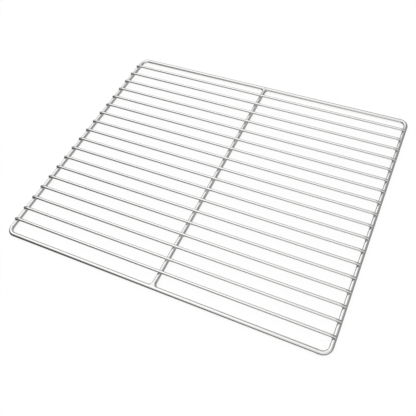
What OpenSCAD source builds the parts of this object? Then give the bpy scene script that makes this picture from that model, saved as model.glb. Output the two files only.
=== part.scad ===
// Cooling rack for bakery trolleys and ovens.
// One thick stainless wire is bent into a rounded rectangle. A cross wire is butt welded inside it
// at mid length. Thinner rods lie over the cross wire and over the two short sides of the frame,
// where their ends are pressed down and welded.
// X runs along the rods, Y runs across them and Z is up. The origin is the middle of the rack at
// the level of the surface it lies on.

/* [Frame wire] */
// Length over the frame, along the rods
rack_length = 650; // [600:5:700]
// Width over the frame, across the rods
rack_width = 530; // [520:5:560]
// Diameter of the frame wire
frame_d = 9; // [8:0.5:10]
// Radius of each corner bend, at the middle of the wire
corner_r = 14; // [12:1:24]

/* [Cross wire] */
// Diameter of the cross wire under the rods at mid length
cross_d = 9; // [6:0.5:9]

/* [Rods] */
// Number of rods
rod_count = 18; // [10:1:18]
// Diameter of each rod
rod_d = 6.3; // [4:0.1:7]
// Distance between the middles of neighbouring rods
rod_pitch = 27.2; // [24:0.1:27.4]
// Depth that each rod is sunk into the cross wire by its weld
weld_sink = 0.4; // [0.2:0.1:0.8]

/* [Rod ends] */
// Distance from the frame's outer face back to each rod's cut end
end_setback = 2.5; // [1:0.5:3]
// Slope of the pressed end, in degrees
end_angle = 13; // [10:1:18]
// How far the rod's end is pressed down below its straight run
end_drop = 2.2; // [1.4:0.1:2.8]

/* [Hidden] */
$fn = 64;

// Two digits for a rod's number, so that the names sort in order
function rod_name(i) = str("rod_", i < 10 ? "0" : "", i);

// Frame: middle line of the wire and the straight runs between its bends
frame_z = frame_d / 2;
side_x = (rack_length - frame_d) / 2;
side_y = (rack_width - frame_d) / 2;
long_run = 2 * (side_x - corner_r);
short_run = 2 * (side_y - corner_r);

// Rods: height of the straight run, and the place along X where each end starts to slope down
rod_z = frame_z + cross_d / 2 + rod_d / 2 - weld_sink;
end_x = rack_length / 2 - end_setback;
kink_x = end_x - end_drop / tan(end_angle);
slope_length = end_drop / sin(end_angle);

// Length of frame or cross wire that one rod's saddle is cut with
saddle_length = 3 * rod_d;

// Y of rod number i, counted from the front
function rod_y(i) = (i - (rod_count + 1) / 2) * rod_pitch;

// A straight round wire centred on the origin, along X
module wire_along_x(d, length) {
    rotate([0, 90, 0])
        cylinder(d = d, h = length, center = true);
}

// A straight round wire centred on the origin, along Y
module wire_along_y(d, length) {
    rotate([90, 0, 0])
        cylinder(d = d, h = length, center = true);
}

// The frame's outline as one closed ring of four straight runs and four quarter bends
module frame_ring() {
    for (s = [-1, 1]) {
        translate([0, s * side_y, frame_z])
            wire_along_x(frame_d, long_run);
        translate([s * side_x, 0, frame_z])
            wire_along_y(frame_d, short_run);
    }
    for (quarter = [[1, 1, 0], [-1, 1, 90], [-1, -1, 180], [1, -1, 270]])
        translate([quarter[0] * (side_x - corner_r), quarter[1] * (side_y - corner_r), frame_z])
            rotate([0, 0, quarter[2]])
                rotate_extrude(angle = 90)
                    translate([corner_r, 0])
                        circle(d = frame_d);
}

// The space beyond the mitre plane at +X, where a rod's straight run gives way to its sloping end
module beyond_kink() {
    reach = slope_length + rod_d;
    translate([kink_x, 0, rod_z])
        rotate([0, end_angle / 2, 0])
            translate([0, -rod_d, -reach])
                cube([reach, 2 * rod_d, 2 * reach]);
}

// One sloping rod end at +X, from the mitre plane to its square-cut face
module pressed_end() {
    intersection() {
        translate([kink_x, 0, rod_z])
            rotate([0, 90 + end_angle, 0])
                translate([0, 0, -rod_d])
                    cylinder(d = rod_d, h = slope_length + rod_d);
        beyond_kink();
    }
}

// The straight run of a rod, cut at both mitre planes
module straight_run() {
    difference() {
        translate([0, 0, rod_z])
            wire_along_x(rod_d, 2 * (kink_x + rod_d));
        beyond_kink();
        mirror([1, 0, 0])
            beyond_kink();
    }
}

module frame_wire() {
    color("gainsboro")
        frame_ring();
}

// The cross wire lies in the frame's plane. Its ends are hollowed to fit the frame wire, and cut
// square a quarter of the frame wire's diameter short of that wire's middle.
module cross_wire() {
    color("lightgray")
        difference() {
            translate([0, 0, frame_z])
                wire_along_y(cross_d, 2 * side_y - frame_d / 2);
            for (s = [-1, 1])
                translate([0, s * side_y, frame_z])
                    wire_along_x(frame_d, 3 * cross_d);
        }
}

// A rod at its place, cut where it sits on the cross wire and on the two sides of the frame
module rod(i) {
    color("whitesmoke")
        translate([0, rod_y(i), 0])
            difference() {
                union() {
                    straight_run();
                    pressed_end();
                    mirror([1, 0, 0])
                        pressed_end();
                }
                translate([0, 0, frame_z])
                    wire_along_y(cross_d, saddle_length);
                for (s = [-1, 1])
                    translate([s * side_x, 0, frame_z])
                        wire_along_y(frame_d, saddle_length);
            }
}

frame_wire();
cross_wire();
for (i = [1:rod_count])
    rod(i);
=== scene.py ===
"""A stainless cooling rack for bakery trolleys: a bent frame wire, a cross wire and eighteen rods."""
import math

import bpy
import numpy as np
from mathutils import Matrix, Vector


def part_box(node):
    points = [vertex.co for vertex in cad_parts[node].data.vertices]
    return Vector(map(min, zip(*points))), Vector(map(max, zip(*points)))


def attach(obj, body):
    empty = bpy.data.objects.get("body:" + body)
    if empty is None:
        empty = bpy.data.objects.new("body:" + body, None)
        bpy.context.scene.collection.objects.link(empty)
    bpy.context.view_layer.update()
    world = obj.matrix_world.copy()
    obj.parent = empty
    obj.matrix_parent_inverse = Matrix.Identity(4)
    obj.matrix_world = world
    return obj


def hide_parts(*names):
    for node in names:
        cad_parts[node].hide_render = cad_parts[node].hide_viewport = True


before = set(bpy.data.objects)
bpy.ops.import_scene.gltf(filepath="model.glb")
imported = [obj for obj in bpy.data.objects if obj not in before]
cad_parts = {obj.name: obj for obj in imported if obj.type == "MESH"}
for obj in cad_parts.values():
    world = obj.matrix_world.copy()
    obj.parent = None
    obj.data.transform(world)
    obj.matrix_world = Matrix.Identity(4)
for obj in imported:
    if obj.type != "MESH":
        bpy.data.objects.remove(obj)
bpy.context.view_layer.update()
MM = 0.001


# ---------------------------------------------------------------------------------------------
# Camera. It stands past the front right corner of the rack and looks down on it, with the rack
# turned a little in the picture, so that every rod runs from upper left to lower right.
CAMERA_AZIMUTH = 28.88
CAMERA_ELEVATION = 56.3
CAMERA_DISTANCE = 0.9046
CAMERA_ROLL = -7.34
CAMERA_AIM = (0.108, -0.0412, 0.0)
CAMERA_LENS = 40.95
CAMERA_SHIFT = (-0.12, 0.0)


def add_camera():
    """Places the camera on a sphere round its aim point, then turns it about its own axis."""
    azimuth, elevation = math.radians(CAMERA_AZIMUTH), math.radians(CAMERA_ELEVATION)
    level = math.cos(elevation)
    away = Vector((math.sin(azimuth) * level, -math.cos(azimuth) * level, math.sin(elevation)))
    data = bpy.data.cameras.new("camera")
    data.lens = CAMERA_LENS
    data.sensor_width = 36.0
    data.shift_x, data.shift_y = CAMERA_SHIFT
    data.clip_start, data.clip_end = 0.05, 60.0
    camera = bpy.data.objects.new("camera", data)
    bpy.context.scene.collection.objects.link(camera)
    turn = away.to_track_quat("Z", "Y").to_matrix().to_4x4()
    roll = Matrix.Rotation(math.radians(CAMERA_ROLL), 4, "Z")
    camera.matrix_world = Matrix.Translation(Vector(CAMERA_AIM) + away * CAMERA_DISTANCE) @ turn @ roll
    bpy.context.scene.camera = camera


add_camera()


# ---------------------------------------------------------------------------------------------
# Frame wire. One length of thick drawn stainless wire, bent round a former at its four corners
# and butt welded into a ring, then electropolished. Everything else is welded to it.
FRAME_SIDES = 48
FRAME_STEP = 2.0 * MM
FRAME_CORNER_R = 14.0 * MM
FRAME_BEND_RINGS = 20
SEAM_TO_BEND = 3.0 * MM
SEAM_GROUND = 0.15 * MM
SEAM_REACH = 6.0 * MM

frame_lo, frame_hi = (np.array(corner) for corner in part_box("frame_wire"))
frame_r = (frame_hi[2] - frame_lo[2]) / 2
frame_z = (frame_hi[2] + frame_lo[2]) / 2
side_x = frame_hi[0] - frame_r
side_y = frame_hi[1] - frame_r


def frame_line():
    """Middle line of the frame: four straight runs joined by quarter circles of the bend radius."""
    corners = []
    for quarter in range(4):
        angle = np.linspace(0, math.pi / 2, FRAME_BEND_RINGS + 1) + quarter * math.pi / 2
        sign_x = 1 if quarter in (0, 3) else -1
        sign_y = 1 if quarter in (0, 1) else -1
        arc = np.stack([np.cos(angle), np.sin(angle), 0 * angle], 1) * FRAME_CORNER_R
        middle_x = sign_x * (side_x - FRAME_CORNER_R)
        middle_y = sign_y * (side_y - FRAME_CORNER_R)
        corners.append(arc + [middle_x, middle_y, frame_z])
    line = []
    for arc, following in zip(corners, corners[1:] + corners[:1]):
        run = np.linalg.norm(following[0] - arc[-1])
        part = np.linspace(0, 1, int(run / FRAME_STEP) + 1)[1:-1, None]
        line += [arc, arc[-1] + (following[0] - arc[-1]) * part]
    return np.concatenate(line)


def swept_wire(name, line, across, radius, sides, closed=False, start=0.0):
    """A wire's surface. Each ring is the line's point plus radius times cos(a) * out + sin(a) * across,
    where a runs once round the wire and out is square to both the line and across. The attribute
    "drawn" holds where each point would lie if the wire were straight: distance along the wire,
    then the two offsets from its middle. Open ends are closed with a flat face."""
    count = len(line)
    radius = np.broadcast_to(np.asarray(radius, float), (2, count))
    step = np.roll(line, -1, 0) - np.roll(line, 1, 0) if closed else np.gradient(line, axis=0)
    tangent = step / np.linalg.norm(step, axis=1, keepdims=True)
    across = np.asarray(across, float)
    out = np.cross(across, tangent)
    out /= np.linalg.norm(out, axis=1, keepdims=True)
    angle = np.arange(sides) * 2 * math.pi / sides
    offset_out = radius[0][:, None] * np.cos(angle)
    offset_across = radius[1][:, None] * np.sin(angle)
    points = line[:, None] + offset_out[..., None] * out[:, None] + offset_across[..., None] * across
    gap = np.linalg.norm(np.diff(line, axis=0), axis=1)
    along = start + np.concatenate([[0], np.cumsum(gap)])
    drawn = np.stack([np.broadcast_to(along[:, None], offset_out.shape), offset_out, offset_across], 2)
    ring = np.arange(count if closed else count - 1)[:, None]
    turn = np.arange(sides)[None]
    after, beside = (ring + 1) % count, (turn + 1) % sides
    near, far = ring * sides, after * sides
    quads = np.stack([near + turn, near + beside, far + beside, far + turn], 2)
    faces = quads.reshape(-1, 4).tolist()
    if not closed:
        faces.append(list(range(sides))[::-1])
        faces.append([(count - 1) * sides + k for k in range(sides)])
    mesh = bpy.data.meshes.new(name)
    mesh.from_pydata(points.reshape(-1, 3), [], faces)
    smooth = np.ones(len(faces), bool)
    if not closed:
        smooth[-2:] = False
    mesh.polygons.foreach_set("use_smooth", smooth)
    mesh.attributes.new("drawn", "FLOAT_VECTOR", "POINT").data.foreach_set("vector", drawn.ravel())
    wire = bpy.data.objects.new(name, mesh)
    bpy.context.scene.collection.objects.link(wire)
    return wire


def bell(distance, reach):
    """1 at distance 0, falling smoothly to 0 at the reach."""
    return np.clip(1 - (distance / reach) ** 2, 0, 1) ** 2


def mark_welds(wire, spots, reach, seam=None):
    """Attribute "near_weld": half a bell round each spot, and a whole one round the seam's middle."""
    points = np.empty(len(wire.data.vertices) * 3)
    wire.data.vertices.foreach_get("co", points)
    points = points.reshape(-1, 1, 3)
    value = bell(np.linalg.norm(points - np.asarray(spots)[None], axis=2).min(1), reach) / 2
    if seam is not None:
        value = np.maximum(value, bell(np.linalg.norm(points[:, 0] - seam, axis=1), reach))
    wire.data.attributes.new("near_weld", "FLOAT", "POINT").data.foreach_set("value", value)


def linear(hex_colour):
    """An sRGB hex colour as linear red, green, blue and alpha."""
    parts = np.array([int(hex_colour[k : k + 2], 16) for k in (1, 3, 5)]) / 255
    return (*np.where(parts <= 0.04045, parts / 12.92, ((parts + 0.055) / 1.055) ** 2.4), 1.0)


def new_material(name):
    """An empty node material, and its shader."""
    material = bpy.data.materials.new(name)
    material.use_nodes = True
    return material, material.node_tree.nodes["Principled BSDF"]


def node(tree, kind, settings=(), links=()):
    """Adds one node, sets its properties and input values, and links its inputs from other sockets."""
    made = tree.nodes.new(kind)
    for key, value in dict(settings).items():
        if isinstance(key, int) or key in made.inputs:
            made.inputs[key].default_value = value
        else:
            setattr(made, key, value)
    for key, socket in dict(links).items():
        tree.links.new(socket, made.inputs[key])
    return made


# Electropolished drawn stainless wire: the bath rounds off the fine lines that the die leaves along
# the wire, so it mirrors its surroundings with a slight soft edge. Each weld leaves a duller patch.
LINE_STRETCH = 300
# Waves about 22 mm long from straightening the coil, and pits about 0.9 mm apart
WAVES_PER_METRE = 45.0
PITS_PER_METRE = 1100.0


def polished_wire(name, bright, dull, line_spacing):
    """Lengthwise die lines at the given spacing, slow waves from straightening, and dull weld spots."""
    material, shader = new_material(name)
    tree = material.node_tree
    drawn = node(tree, "ShaderNodeAttribute", {"attribute_name": "drawn"})
    weld = node(tree, "ShaderNodeAttribute", {"attribute_name": "near_weld"})
    place = {"Vector": drawn.outputs["Vector"]}
    # The real die lines are a tenth of this spacing: they are drawn coarser so that they can show
    across = 1 / line_spacing
    stretched = node(tree, "ShaderNodeMapping", {"Scale": (across / LINE_STRETCH, across, across)}, place)
    lines = node(
        tree,
        "ShaderNodeTexNoise",
        {"Scale": 1.0, "Detail": 3.0, "Roughness": 0.6},
        {"Vector": stretched.outputs[0]},
    )
    waves = node(
        tree, "ShaderNodeTexNoise", {"Scale": WAVES_PER_METRE, "Detail": 1.0, "Roughness": 0.4}, place
    )
    grain = node(
        tree, "ShaderNodeTexNoise", {"Scale": PITS_PER_METRE, "Detail": 2.0, "Roughness": 0.5}, place
    )
    tint = node(
        tree,
        "ShaderNodeMix",
        {"data_type": "RGBA", 6: linear(bright), 7: linear(dull)},
        {0: weld.outputs["Fac"]},
    )
    tree.links.new(tint.outputs[2], shader.inputs["Base Color"])
    streak = node(
        tree, "ShaderNodeMapRange", {1: 0.3, 2: 0.7, 3: 0.16, 4: 0.23}, {0: lines.outputs["Fac"]}
    )
    satin = node(tree, "ShaderNodeMath", {"operation": "MULTIPLY", 1: 0.16}, {0: weld.outputs["Fac"]})
    rough = node(
        tree, "ShaderNodeMath", {"operation": "ADD"}, {0: streak.outputs[0], 1: satin.outputs[0]}
    )
    tree.links.new(rough.outputs[0], shader.inputs["Roughness"])
    fine = node(
        tree,
        "ShaderNodeBump",
        {"Strength": 0.12, "Distance": 0.02 * MM},
        {"Height": lines.outputs["Fac"]},
    )
    slow = node(
        tree,
        "ShaderNodeBump",
        {"Strength": 0.15, "Distance": 0.06 * MM},
        {"Height": waves.outputs["Fac"], "Normal": fine.outputs[0]},
    )
    pits = node(
        tree,
        "ShaderNodeBump",
        {"Strength": 0.10, "Distance": 0.01 * MM},
        {"Height": grain.outputs["Fac"], "Normal": slow.outputs[0]},
    )
    tree.links.new(pits.outputs[0], shader.inputs["Normal"])
    shader.inputs["Metallic"].default_value = 1.0
    return material


rod_names = [f"rod_{number:02d}" for number in range(1, 19)]
rod_boxes = [[np.array(corner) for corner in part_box(name)] for name in rod_names]
rod_ys = np.array([(lo[1] + hi[1]) / 2 for lo, hi in rod_boxes])
rod_end_x = rod_boxes[0][1][0]

frame_welds = [(sign * (side_x - MM), y, frame_z + frame_r) for y in rod_ys for sign in (-1, 1)]
frame_welds += [(0.0, sign * (side_y - frame_r), frame_z) for sign in (-1, 1)]

# The ring's own butt weld, just before a bend, is ground flush: a hair thinner and a little duller
ring_seam = np.array([side_x - FRAME_CORNER_R - SEAM_TO_BEND, -side_y, frame_z])
ring_path = frame_line()
ground = frame_r - SEAM_GROUND * bell(np.linalg.norm(ring_path - ring_seam, axis=1), SEAM_REACH)

frame_steel = polished_wire("electropolished_frame_wire", "#DADAD9", "#9E9D9B", 0.40 * MM)
frame_visual = swept_wire("frame_wire_bent", ring_path, (0, 0, 1), ground, FRAME_SIDES, closed=True)
mark_welds(frame_visual, frame_welds, SEAM_REACH, ring_seam - [0, 0.8 * frame_r, 0.4 * frame_r])
frame_visual.data.materials.append(frame_steel)
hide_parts("frame_wire")
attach(frame_visual, "root")


# ---------------------------------------------------------------------------------------------
# Cross wire. A straight cut of the frame's own wire that lies inside the frame at mid length and
# carries the rods. Both ends are butt welded to the frame, and the weld flares out at the joint.
CROSS_SIDES = 44
CROSS_STEP = 1.5 * MM
CROSS_BURIED = 1.0 * MM

cross_lo, cross_hi = (np.array(corner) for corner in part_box("cross_wire"))
cross_r = (cross_hi[0] - cross_lo[0]) / 2
cross_z = (cross_hi[2] + cross_lo[2]) / 2
cross_end = side_y - frame_r + CROSS_BURIED


def straight_line(start, end, step):
    """Points from start to end, evenly spaced at about the given step."""
    start, end = np.asarray(start, float), np.asarray(end, float)
    part = np.linspace(0, 1, int(np.linalg.norm(end - start) / step) + 1)[:, None]
    return start + (end - start) * part


cross_steel = polished_wire("electropolished_cross_wire", "#D8D8D7", "#A8A7A5", 0.38 * MM)
cross_line = straight_line((0, -cross_end, cross_z), (0, cross_end, cross_z), CROSS_STEP)
cross_visual = swept_wire("cross_wire_straight", cross_line, (0, 0, 1), cross_r, CROSS_SIDES)
cross_welds = [(0.0, y, cross_z + cross_r) for y in rod_ys] + [(0.0, s * side_y, cross_z) for s in (-1, 1)]
mark_welds(cross_visual, cross_welds, 6.0 * MM)
cross_visual.data.materials.append(cross_steel)
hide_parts("cross_wire")
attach(cross_visual, "root")


# ---------------------------------------------------------------------------------------------
# Rods. Thinner straight wires, cropped to length and laid over the cross wire and the two short
# sides of the frame. Resistance welding presses each hot end down, so the last stretch slopes.
ROD_SIDES = 36
ROD_STEP = 2.0 * MM
ROD_END_ANGLE = math.radians(13.0)
ROD_END_DROP = 2.2 * MM
ROD_BEND_R = 14.0 * MM
ROD_EDGE_R = 0.5 * MM

rod_r = (rod_boxes[0][1][1] - rod_boxes[0][0][1]) / 2
rod_z = rod_boxes[0][1][2] - rod_r
rod_end_middle = rod_end_x - rod_r * math.sin(ROD_END_ANGLE)
rod_kink = rod_end_middle - ROD_END_DROP / math.tan(ROD_END_ANGLE)
rod_bend_start = rod_kink - ROD_BEND_R * math.tan(ROD_END_ANGLE / 2)


def rod_half_line():
    """Middle line from the rod's middle to its end, by distance run: the slope is 0 on the straight
    run, grows evenly over the bend to the end angle, and stays there up to the cut face."""
    bend = ROD_BEND_R * ROD_END_ANGLE
    slope = (rod_end_middle - rod_kink) / math.cos(ROD_END_ANGLE) - ROD_BEND_R * math.tan(ROD_END_ANGLE / 2)
    full = rod_bend_start + bend + slope
    run = np.concatenate([
        np.linspace(0, rod_bend_start, int(rod_bend_start / ROD_STEP)),
        np.linspace(rod_bend_start, full - ROD_EDGE_R, 24)[1:],
        full - ROD_EDGE_R * (1 - np.sin(np.linspace(0, 1, 6)[1:] * math.pi / 2)),
    ])
    fall = np.clip((run - rod_bend_start) / ROD_BEND_R, 0, ROD_END_ANGLE)
    gap = np.diff(run)
    middle = (fall[1:] + fall[:-1]) / 2
    x = np.concatenate([[0], np.cumsum(gap * np.cos(middle))])
    z = rod_z - np.concatenate([[0], np.cumsum(gap * np.sin(middle))])
    edge = np.clip((run - full + ROD_EDGE_R) / ROD_EDGE_R, 0, 1)
    radius = rod_r - ROD_EDGE_R * (1 - np.sqrt(1 - edge**2))
    return x, z, radius


def rod_line(y):
    """The whole middle line of the rod at the given Y, and the wire's radius at each point."""
    x, z, radius = rod_half_line()
    x = np.concatenate([-x[:0:-1], x])
    z = np.concatenate([z[:0:-1], z])
    radius = np.concatenate([radius[:0:-1], radius])
    return np.stack([x, np.full_like(x, y), z], 1), radius


rod_steel = polished_wire("electropolished_rod", "#DCDCDB", "#ACABA9", 0.30 * MM)
for number, (name, y) in enumerate(zip(rod_names, rod_ys)):
    line, radius = rod_line(y)
    rod = swept_wire(name + "_drawn", line, (0, 1, 0), radius, ROD_SIDES, start=0.7 * number)
    mark_welds(rod, [(0, y, rod_z - rod_r), (side_x, y, rod_z), (-side_x, y, rod_z)], 7.0 * MM)
    rod.data.materials.append(rod_steel)
    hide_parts(name)
    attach(rod, "root")


# ---------------------------------------------------------------------------------------------
# Welds. Resistance welding melts each contact for a moment and squeezes a small smooth collar out
# of it, and the cross wire's butt welds run out into wider fillets. Pickling leaves them satin.
WELD_TURNS = 40
WELD_LEVELS = 24
WELD_HALVINGS = 26
WELD_SINK = 0.03 * MM
ROD_COLLAR = 1.6 * MM
SIDE_COLLAR = 0.7 * MM
BUTT_FILLET = 7.0 * MM
BUTT_FADE = 4.0 * MM
LEAST_FILLET = 0.01 * MM
ROD_WELD_REACH = 6.0 * MM
BUTT_WELD_REACH = 10.0 * MM


def wire_distance(points, start, direction, radius, length, edge):
    """How far points are outside a round wire that runs from start to its cut face at the given
    length: the distance to its side or to its face, whichever is more, with the edge rounded."""
    offset = points - start
    along = offset @ direction
    side = np.linalg.norm(offset - along[..., None] * direction, axis=-1) - radius
    end = along - length
    outside = np.hypot(np.maximum(side + edge, 0), np.maximum(end + edge, 0))
    return outside + np.minimum(np.maximum(side, end) + edge, 0) - edge


def blend(first, second, width):
    """The smaller of two distances, rounded off where they are closer together than width."""
    near = np.clip(width - np.abs(first - second), 0, None) / width
    return np.minimum(first, second) - near**2 * width / 4


def weld_blobs(name, centres, reach, distance, seed):
    """One closed blob round each centre. Along each direction from the centre, the surface is where
    the distance function is zero, found by halving, and no further than the reach."""
    around = np.arange(WELD_TURNS) * 2 * math.pi / WELD_TURNS
    level = np.linspace(0, math.pi, WELD_LEVELS + 1)[1:-1]
    ray = np.stack([
        np.sin(level)[:, None] * np.cos(around),
        np.sin(level)[:, None] * np.sin(around),
        np.cos(level)[:, None] * np.ones(WELD_TURNS),
    ], 2)
    ray = np.concatenate([ray.reshape(-1, 3), [(0, 0, 1), (0, 0, -1)]])
    centres = np.asarray(centres, float)
    rng = np.random.default_rng(seed)
    lobes = rng.normal(size=(len(centres), 3, 2))
    turn = np.arctan2(ray[:, 1], ray[:, 0])
    uneven = sum(
        lobes[:, k, :1] * np.cos((k + 1) * turn) + lobes[:, k, 1:] * np.sin((k + 1) * turn)
        for k in range(3)
    )
    low, high = np.zeros((len(centres), len(ray))), np.full((len(centres), len(ray)), reach)
    for _ in range(WELD_HALVINGS):
        half = (low + high) / 2
        inside = distance(centres[:, None] + ray * half[..., None], uneven) < -WELD_SINK
        low, high = np.where(inside, half, low), np.where(inside, high, half)
    points = centres[:, None] + ray * low[..., None]
    rows = WELD_LEVELS - 1
    ring, side = np.arange(rows - 1)[:, None] * WELD_TURNS, np.arange(WELD_TURNS)
    beside = (side + 1) % WELD_TURNS
    below = ring + WELD_TURNS
    quads = np.stack([ring + side, below + side, below + beside, ring + beside], 2).reshape(-1, 4)
    top, bottom, last = rows * WELD_TURNS, rows * WELD_TURNS + 1, (rows - 1) * WELD_TURNS
    fans = np.concatenate([
        np.stack([np.full_like(side, top), side, beside], 1),
        np.stack([np.full_like(side, bottom), last + beside, last + side], 1),
    ])
    faces = []
    for blob in range(len(centres)):
        faces += (quads + blob * len(ray)).tolist() + (fans + blob * len(ray)).tolist()
    mesh = bpy.data.meshes.new(name)
    mesh.from_pydata(points.reshape(-1, 3), [], faces)
    mesh.polygons.foreach_set("use_smooth", np.ones(len(faces), bool))
    welds = bpy.data.objects.new(name, mesh)
    bpy.context.scene.collection.objects.link(welds)
    return welds


# Pickled weld metal: the acid bath leaves an even satin grey that spreads highlights wider
# Ripples about 1.4 mm long and grain of 0.2 mm, which is coarser than real so that it can show
RIPPLES_PER_METRE = 700.0
GRAINS_PER_METRE = 5000.0


def pickled_weld():
    """Fine satin grain over slow ripples of the once molten metal."""
    material, shader = new_material("pickled_weld_metal")
    tree = material.node_tree
    place = {"Vector": node(tree, "ShaderNodeTexCoord").outputs["Object"]}
    ripple = node(tree, "ShaderNodeTexNoise", {"Scale": RIPPLES_PER_METRE, "Detail": 2.0}, place)
    grain = node(tree, "ShaderNodeTexNoise", {"Scale": GRAINS_PER_METRE, "Detail": 3.0}, place)
    tint = node(
        tree,
        "ShaderNodeMix",
        {"data_type": "RGBA", 6: linear("#CBCAC8"), 7: linear("#D9D9D7")},
        {0: ripple.outputs["Fac"]},
    )
    tree.links.new(tint.outputs[2], shader.inputs["Base Color"])
    rough = node(tree, "ShaderNodeMapRange", {1: 0.3, 2: 0.7, 3: 0.17, 4: 0.25}, {0: grain.outputs["Fac"]})
    tree.links.new(rough.outputs[0], shader.inputs["Roughness"])
    bump = node(
        tree,
        "ShaderNodeBump",
        {"Strength": 0.25, "Distance": 0.05 * MM},
        {"Height": ripple.outputs["Fac"]},
    )
    tree.links.new(bump.outputs[0], shader.inputs["Normal"])
    shader.inputs["Metallic"].default_value = 1.0
    return material


def rod_on_cross(points, uneven):
    """A rod along X over the cross wire along Y."""
    centre_y = rod_ys[:, None]
    over = np.hypot(points[..., 1] - centre_y, points[..., 2] - rod_z) - rod_r
    under = np.hypot(points[..., 0], points[..., 2] - cross_z) - cross_r
    return blend(over, under, ROD_COLLAR * np.clip(1 + 0.12 * uneven, 0.5, 1.5))


def rod_on_side(sign):
    """A rod's sloping end over the side of the frame at plus or minus X."""
    slope = np.array([sign * math.cos(ROD_END_ANGLE), 0, -math.sin(ROD_END_ANGLE)])
    kink = np.array([sign * rod_kink, 0, rod_z])
    length = (rod_end_middle - rod_kink) / math.cos(ROD_END_ANGLE)

    def distance(points, uneven):
        centred = points - np.stack([0 * rod_ys, rod_ys, 0 * rod_ys], 1)[:, None]
        end = wire_distance(centred, kink, slope, rod_r, length, ROD_EDGE_R)
        side = np.hypot(points[..., 0] - sign * side_x, points[..., 2] - frame_z) - frame_r
        return blend(end, side, SIDE_COLLAR * np.clip(1 + 0.15 * uneven, 0.5, 1.6))

    return distance


def cross_on_frame(points, uneven):
    """Both ends of the cross wire, each against its own long side of the frame. The fillet fades
    out over the frame wire, and is ground level with the wires above and below."""
    from_middle = np.abs(points[..., 1])
    from_level = points[..., 2] - frame_z
    cross = np.hypot(points[..., 0], points[..., 2] - cross_z) - cross_r
    long_side = np.hypot(from_middle - side_y, from_level) - frame_r
    past = np.clip(from_middle - side_y + frame_r, 0, BUTT_FADE) / BUTT_FADE
    width = BUTT_FILLET * np.clip(1 + 0.05 * uneven, 0.7, 1.3) * (1 - past) + LEAST_FILLET
    joint = blend(np.maximum(cross, from_middle - side_y), long_side, width)
    return np.maximum(joint, np.abs(from_level) - frame_r)


weld_metal = pickled_weld()
contact_z = (rod_z - rod_r + cross_z + cross_r) / 2
on_cross = [(0, y, contact_z) for y in rod_ys]
on_right = [(side_x - 0.7 * MM, y, frame_z + frame_r - 0.6 * MM) for y in rod_ys]
on_left = [(-x, y, z) for x, y, z in on_right]
at_butts = [(0, sign * (side_y - frame_r + 0.5 * MM), cross_z) for sign in (-1, 1)]
for name, centres, reach, distance, seed, slot in (
    ("welds_rods_on_cross", on_cross, ROD_WELD_REACH, rod_on_cross, 3, "cross_steel"),
    ("welds_rods_right", on_right, ROD_WELD_REACH, rod_on_side(1), 5, "frame_steel"),
    ("welds_rods_left", on_left, ROD_WELD_REACH, rod_on_side(-1), 7, "frame_steel"),
    ("welds_cross_ends", at_butts, BUTT_WELD_REACH, cross_on_frame, 9, "cross_steel"),
):
    welds = weld_blobs(name, centres, reach, distance, seed)
    welds.data.materials.append(weld_metal)
    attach(welds, "root")


# ---------------------------------------------------------------------------------------------
# Studio. The rack lies on a pale floor under a wide white tent, with the room darker towards the
# front left and the right. The floor and backdrop are for the camera only: the steel mirrors the tent.
FLOOR_RADIUS = 6.0
FLOOR_TURNS = 96
FLOOR_GAP = 0.02 * MM
FLOOR_WHITE = 0.90
BACKDROP_RADIUS = 1.5 * FLOOR_RADIUS
BACKDROP_TURNS = 48
BACKDROP_LEVELS = 14
BACKDROP_WHITE = 0.98
TENT_STRENGTH = 2.0
# Tones of the surroundings that the steel mirrors: white table, dark room at eye level, white roof.
# Each comes with the height above the horizon, in degrees, where it ends or begins.
TABLE_TONE, TABLE_EDGE = 1.2, -20
ROOM_TONE, ROOM_HALF_HEIGHT = 0.05, 12
ROOF_TONE, ROOF_EDGE = 1.0, 30


def studio_floor():
    """A wide disc just under the rack."""
    angle = np.arange(FLOOR_TURNS) * 2 * math.pi / FLOOR_TURNS
    ring = np.stack([np.cos(angle), np.sin(angle), 0 * angle], 1) * FLOOR_RADIUS
    mesh = bpy.data.meshes.new("studio_floor")
    mesh.from_pydata(ring + [0, 0, frame_lo[2] - FLOOR_GAP], [], [list(range(FLOOR_TURNS))])
    floor = bpy.data.objects.new("studio_floor", mesh)
    bpy.context.scene.collection.objects.link(floor)
    material, shader = new_material("pale_floor")
    shader.inputs["Base Color"].default_value = (0.12, 0.12, 0.12, 1)
    shader.inputs["Roughness"].default_value = 1.0
    shader.inputs["Specular IOR Level"].default_value = 0.0
    shader.inputs["Emission Color"].default_value = (1, 1, 1, 1)
    shader.inputs["Emission Strength"].default_value = FLOOR_WHITE
    floor.data.materials.append(material)
    floor.visible_glossy = False


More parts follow.
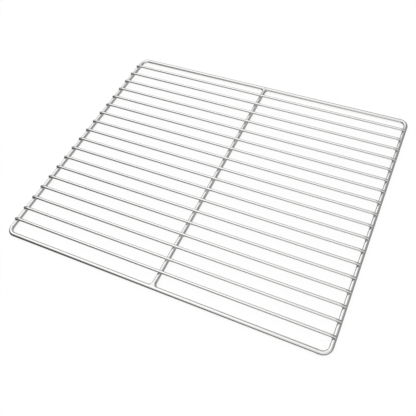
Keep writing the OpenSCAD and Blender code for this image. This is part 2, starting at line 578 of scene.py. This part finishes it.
def studio_backdrop():
    """A dome far behind everything, of the floor's own tone."""
    turn = np.arange(BACKDROP_TURNS) * 2 * math.pi / BACKDROP_TURNS
    across, up = np.meshgrid(turn, np.linspace(-0.1, 1, BACKDROP_LEVELS) * math.pi / 2)
    level = np.cos(up)
    points = np.stack([level * np.cos(across), level * np.sin(across), np.sin(up)], 2) * BACKDROP_RADIUS
    ring = np.arange(BACKDROP_LEVELS - 1)[:, None] * BACKDROP_TURNS
    side = np.arange(BACKDROP_TURNS)
    beside = (side + 1) % BACKDROP_TURNS
    above = ring + BACKDROP_TURNS
    quads = np.stack([ring + side, above + side, above + beside, ring + beside], 2).reshape(-1, 4)
    mesh = bpy.data.meshes.new("studio_backdrop")
    mesh.from_pydata(points.reshape(-1, 3), [], quads.tolist())
    dome = bpy.data.objects.new("studio_backdrop", mesh)
    bpy.context.scene.collection.objects.link(dome)
    material, shader = new_material("pale_backdrop")
    shader.inputs["Base Color"].default_value = (0, 0, 0, 1)
    shader.inputs["Roughness"].default_value = 1.0
    shader.inputs["Specular IOR Level"].default_value = 0.0
    shader.inputs["Emission Color"].default_value = (1, 1, 1, 1)
    shader.inputs["Emission Strength"].default_value = BACKDROP_WHITE
    dome.data.materials.append(material)
    dome.visible_glossy = False
    dome.visible_diffuse = False
    dome.visible_shadow = False


def soft_patch(tree, way, colour, azimuth, height, half_width, tone):
    """Mixes one round patch into the sky's colour: full at its middle, fading out to its half width.
    Angles are in degrees, with azimuth from +X towards +Y and height above the horizon."""
    a, e = math.radians(azimuth), math.radians(height)
    axis = (math.cos(a) * math.cos(e), math.sin(a) * math.cos(e), math.sin(e))
    toward = node(tree, "ShaderNodeVectorMath", {"operation": "DOT_PRODUCT", 1: axis}, {0: way})
    patch = node(
        tree,
        "ShaderNodeMapRange",
        {"interpolation_type": "SMOOTHSTEP", 1: math.cos(math.radians(half_width)), 2: 1.0, 3: 0.0, 4: 1.0},
        {0: toward.outputs["Value"]},
    )
    grey = (tone / TENT_STRENGTH,) * 3 + (1,)
    mixed = node(tree, "ShaderNodeMix", {"data_type": "RGBA", 7: grey}, {0: patch.outputs[0], 6: colour})
    return mixed.outputs[2]


def studio_light():
    """The tent as a sky: a tone by height, then a lamp and two darker sides of the room."""
    world = bpy.data.worlds.new("studio_tent")
    world.use_nodes = True
    bpy.context.scene.world = world
    tree = world.node_tree
    back = tree.nodes["Background"]
    back.inputs["Strength"].default_value = TENT_STRENGTH
    way = node(tree, "ShaderNodeTexCoord").outputs["Generated"]
    parts = node(tree, "ShaderNodeSeparateXYZ", (), {0: way})
    level = node(tree, "ShaderNodeMapRange", {1: -1.0, 2: 1.0, 3: 0.0, 4: 1.0}, {0: parts.outputs["Z"]})
    ramp = node(tree, "ShaderNodeValToRGB", (), {0: level.outputs[0]})
    tones = (
        (TABLE_EDGE, TABLE_TONE),
        (-ROOM_HALF_HEIGHT, ROOM_TONE),
        (ROOM_HALF_HEIGHT, ROOM_TONE),
        (ROOF_EDGE, ROOF_TONE),
    )
    stops = ramp.color_ramp.elements
    while len(stops) < len(tones):
        stops.new(0.5)
    for stop, (height, tone) in zip(stops, tones):
        stop.position = (math.sin(math.radians(height)) + 1) / 2
        stop.color = (tone / TENT_STRENGTH,) * 3 + (1,)
    colour = ramp.outputs["Color"]
    # The lamp, high up at the back left
    colour = soft_patch(tree, way, colour, azimuth=160, height=55, half_width=50, tone=1.5)
    # The unlit side of the room, at the front left
    colour = soft_patch(tree, way, colour, azimuth=215, height=10, half_width=55, tone=0.05)
    # The dim side of the room, at the right
    colour = soft_patch(tree, way, colour, azimuth=50, height=10, half_width=75, tone=0.35)
    tree.links.new(colour, back.inputs["Color"])


studio_floor()
studio_backdrop()
studio_light()
bpy.context.scene.view_settings.view_transform = "Standard"
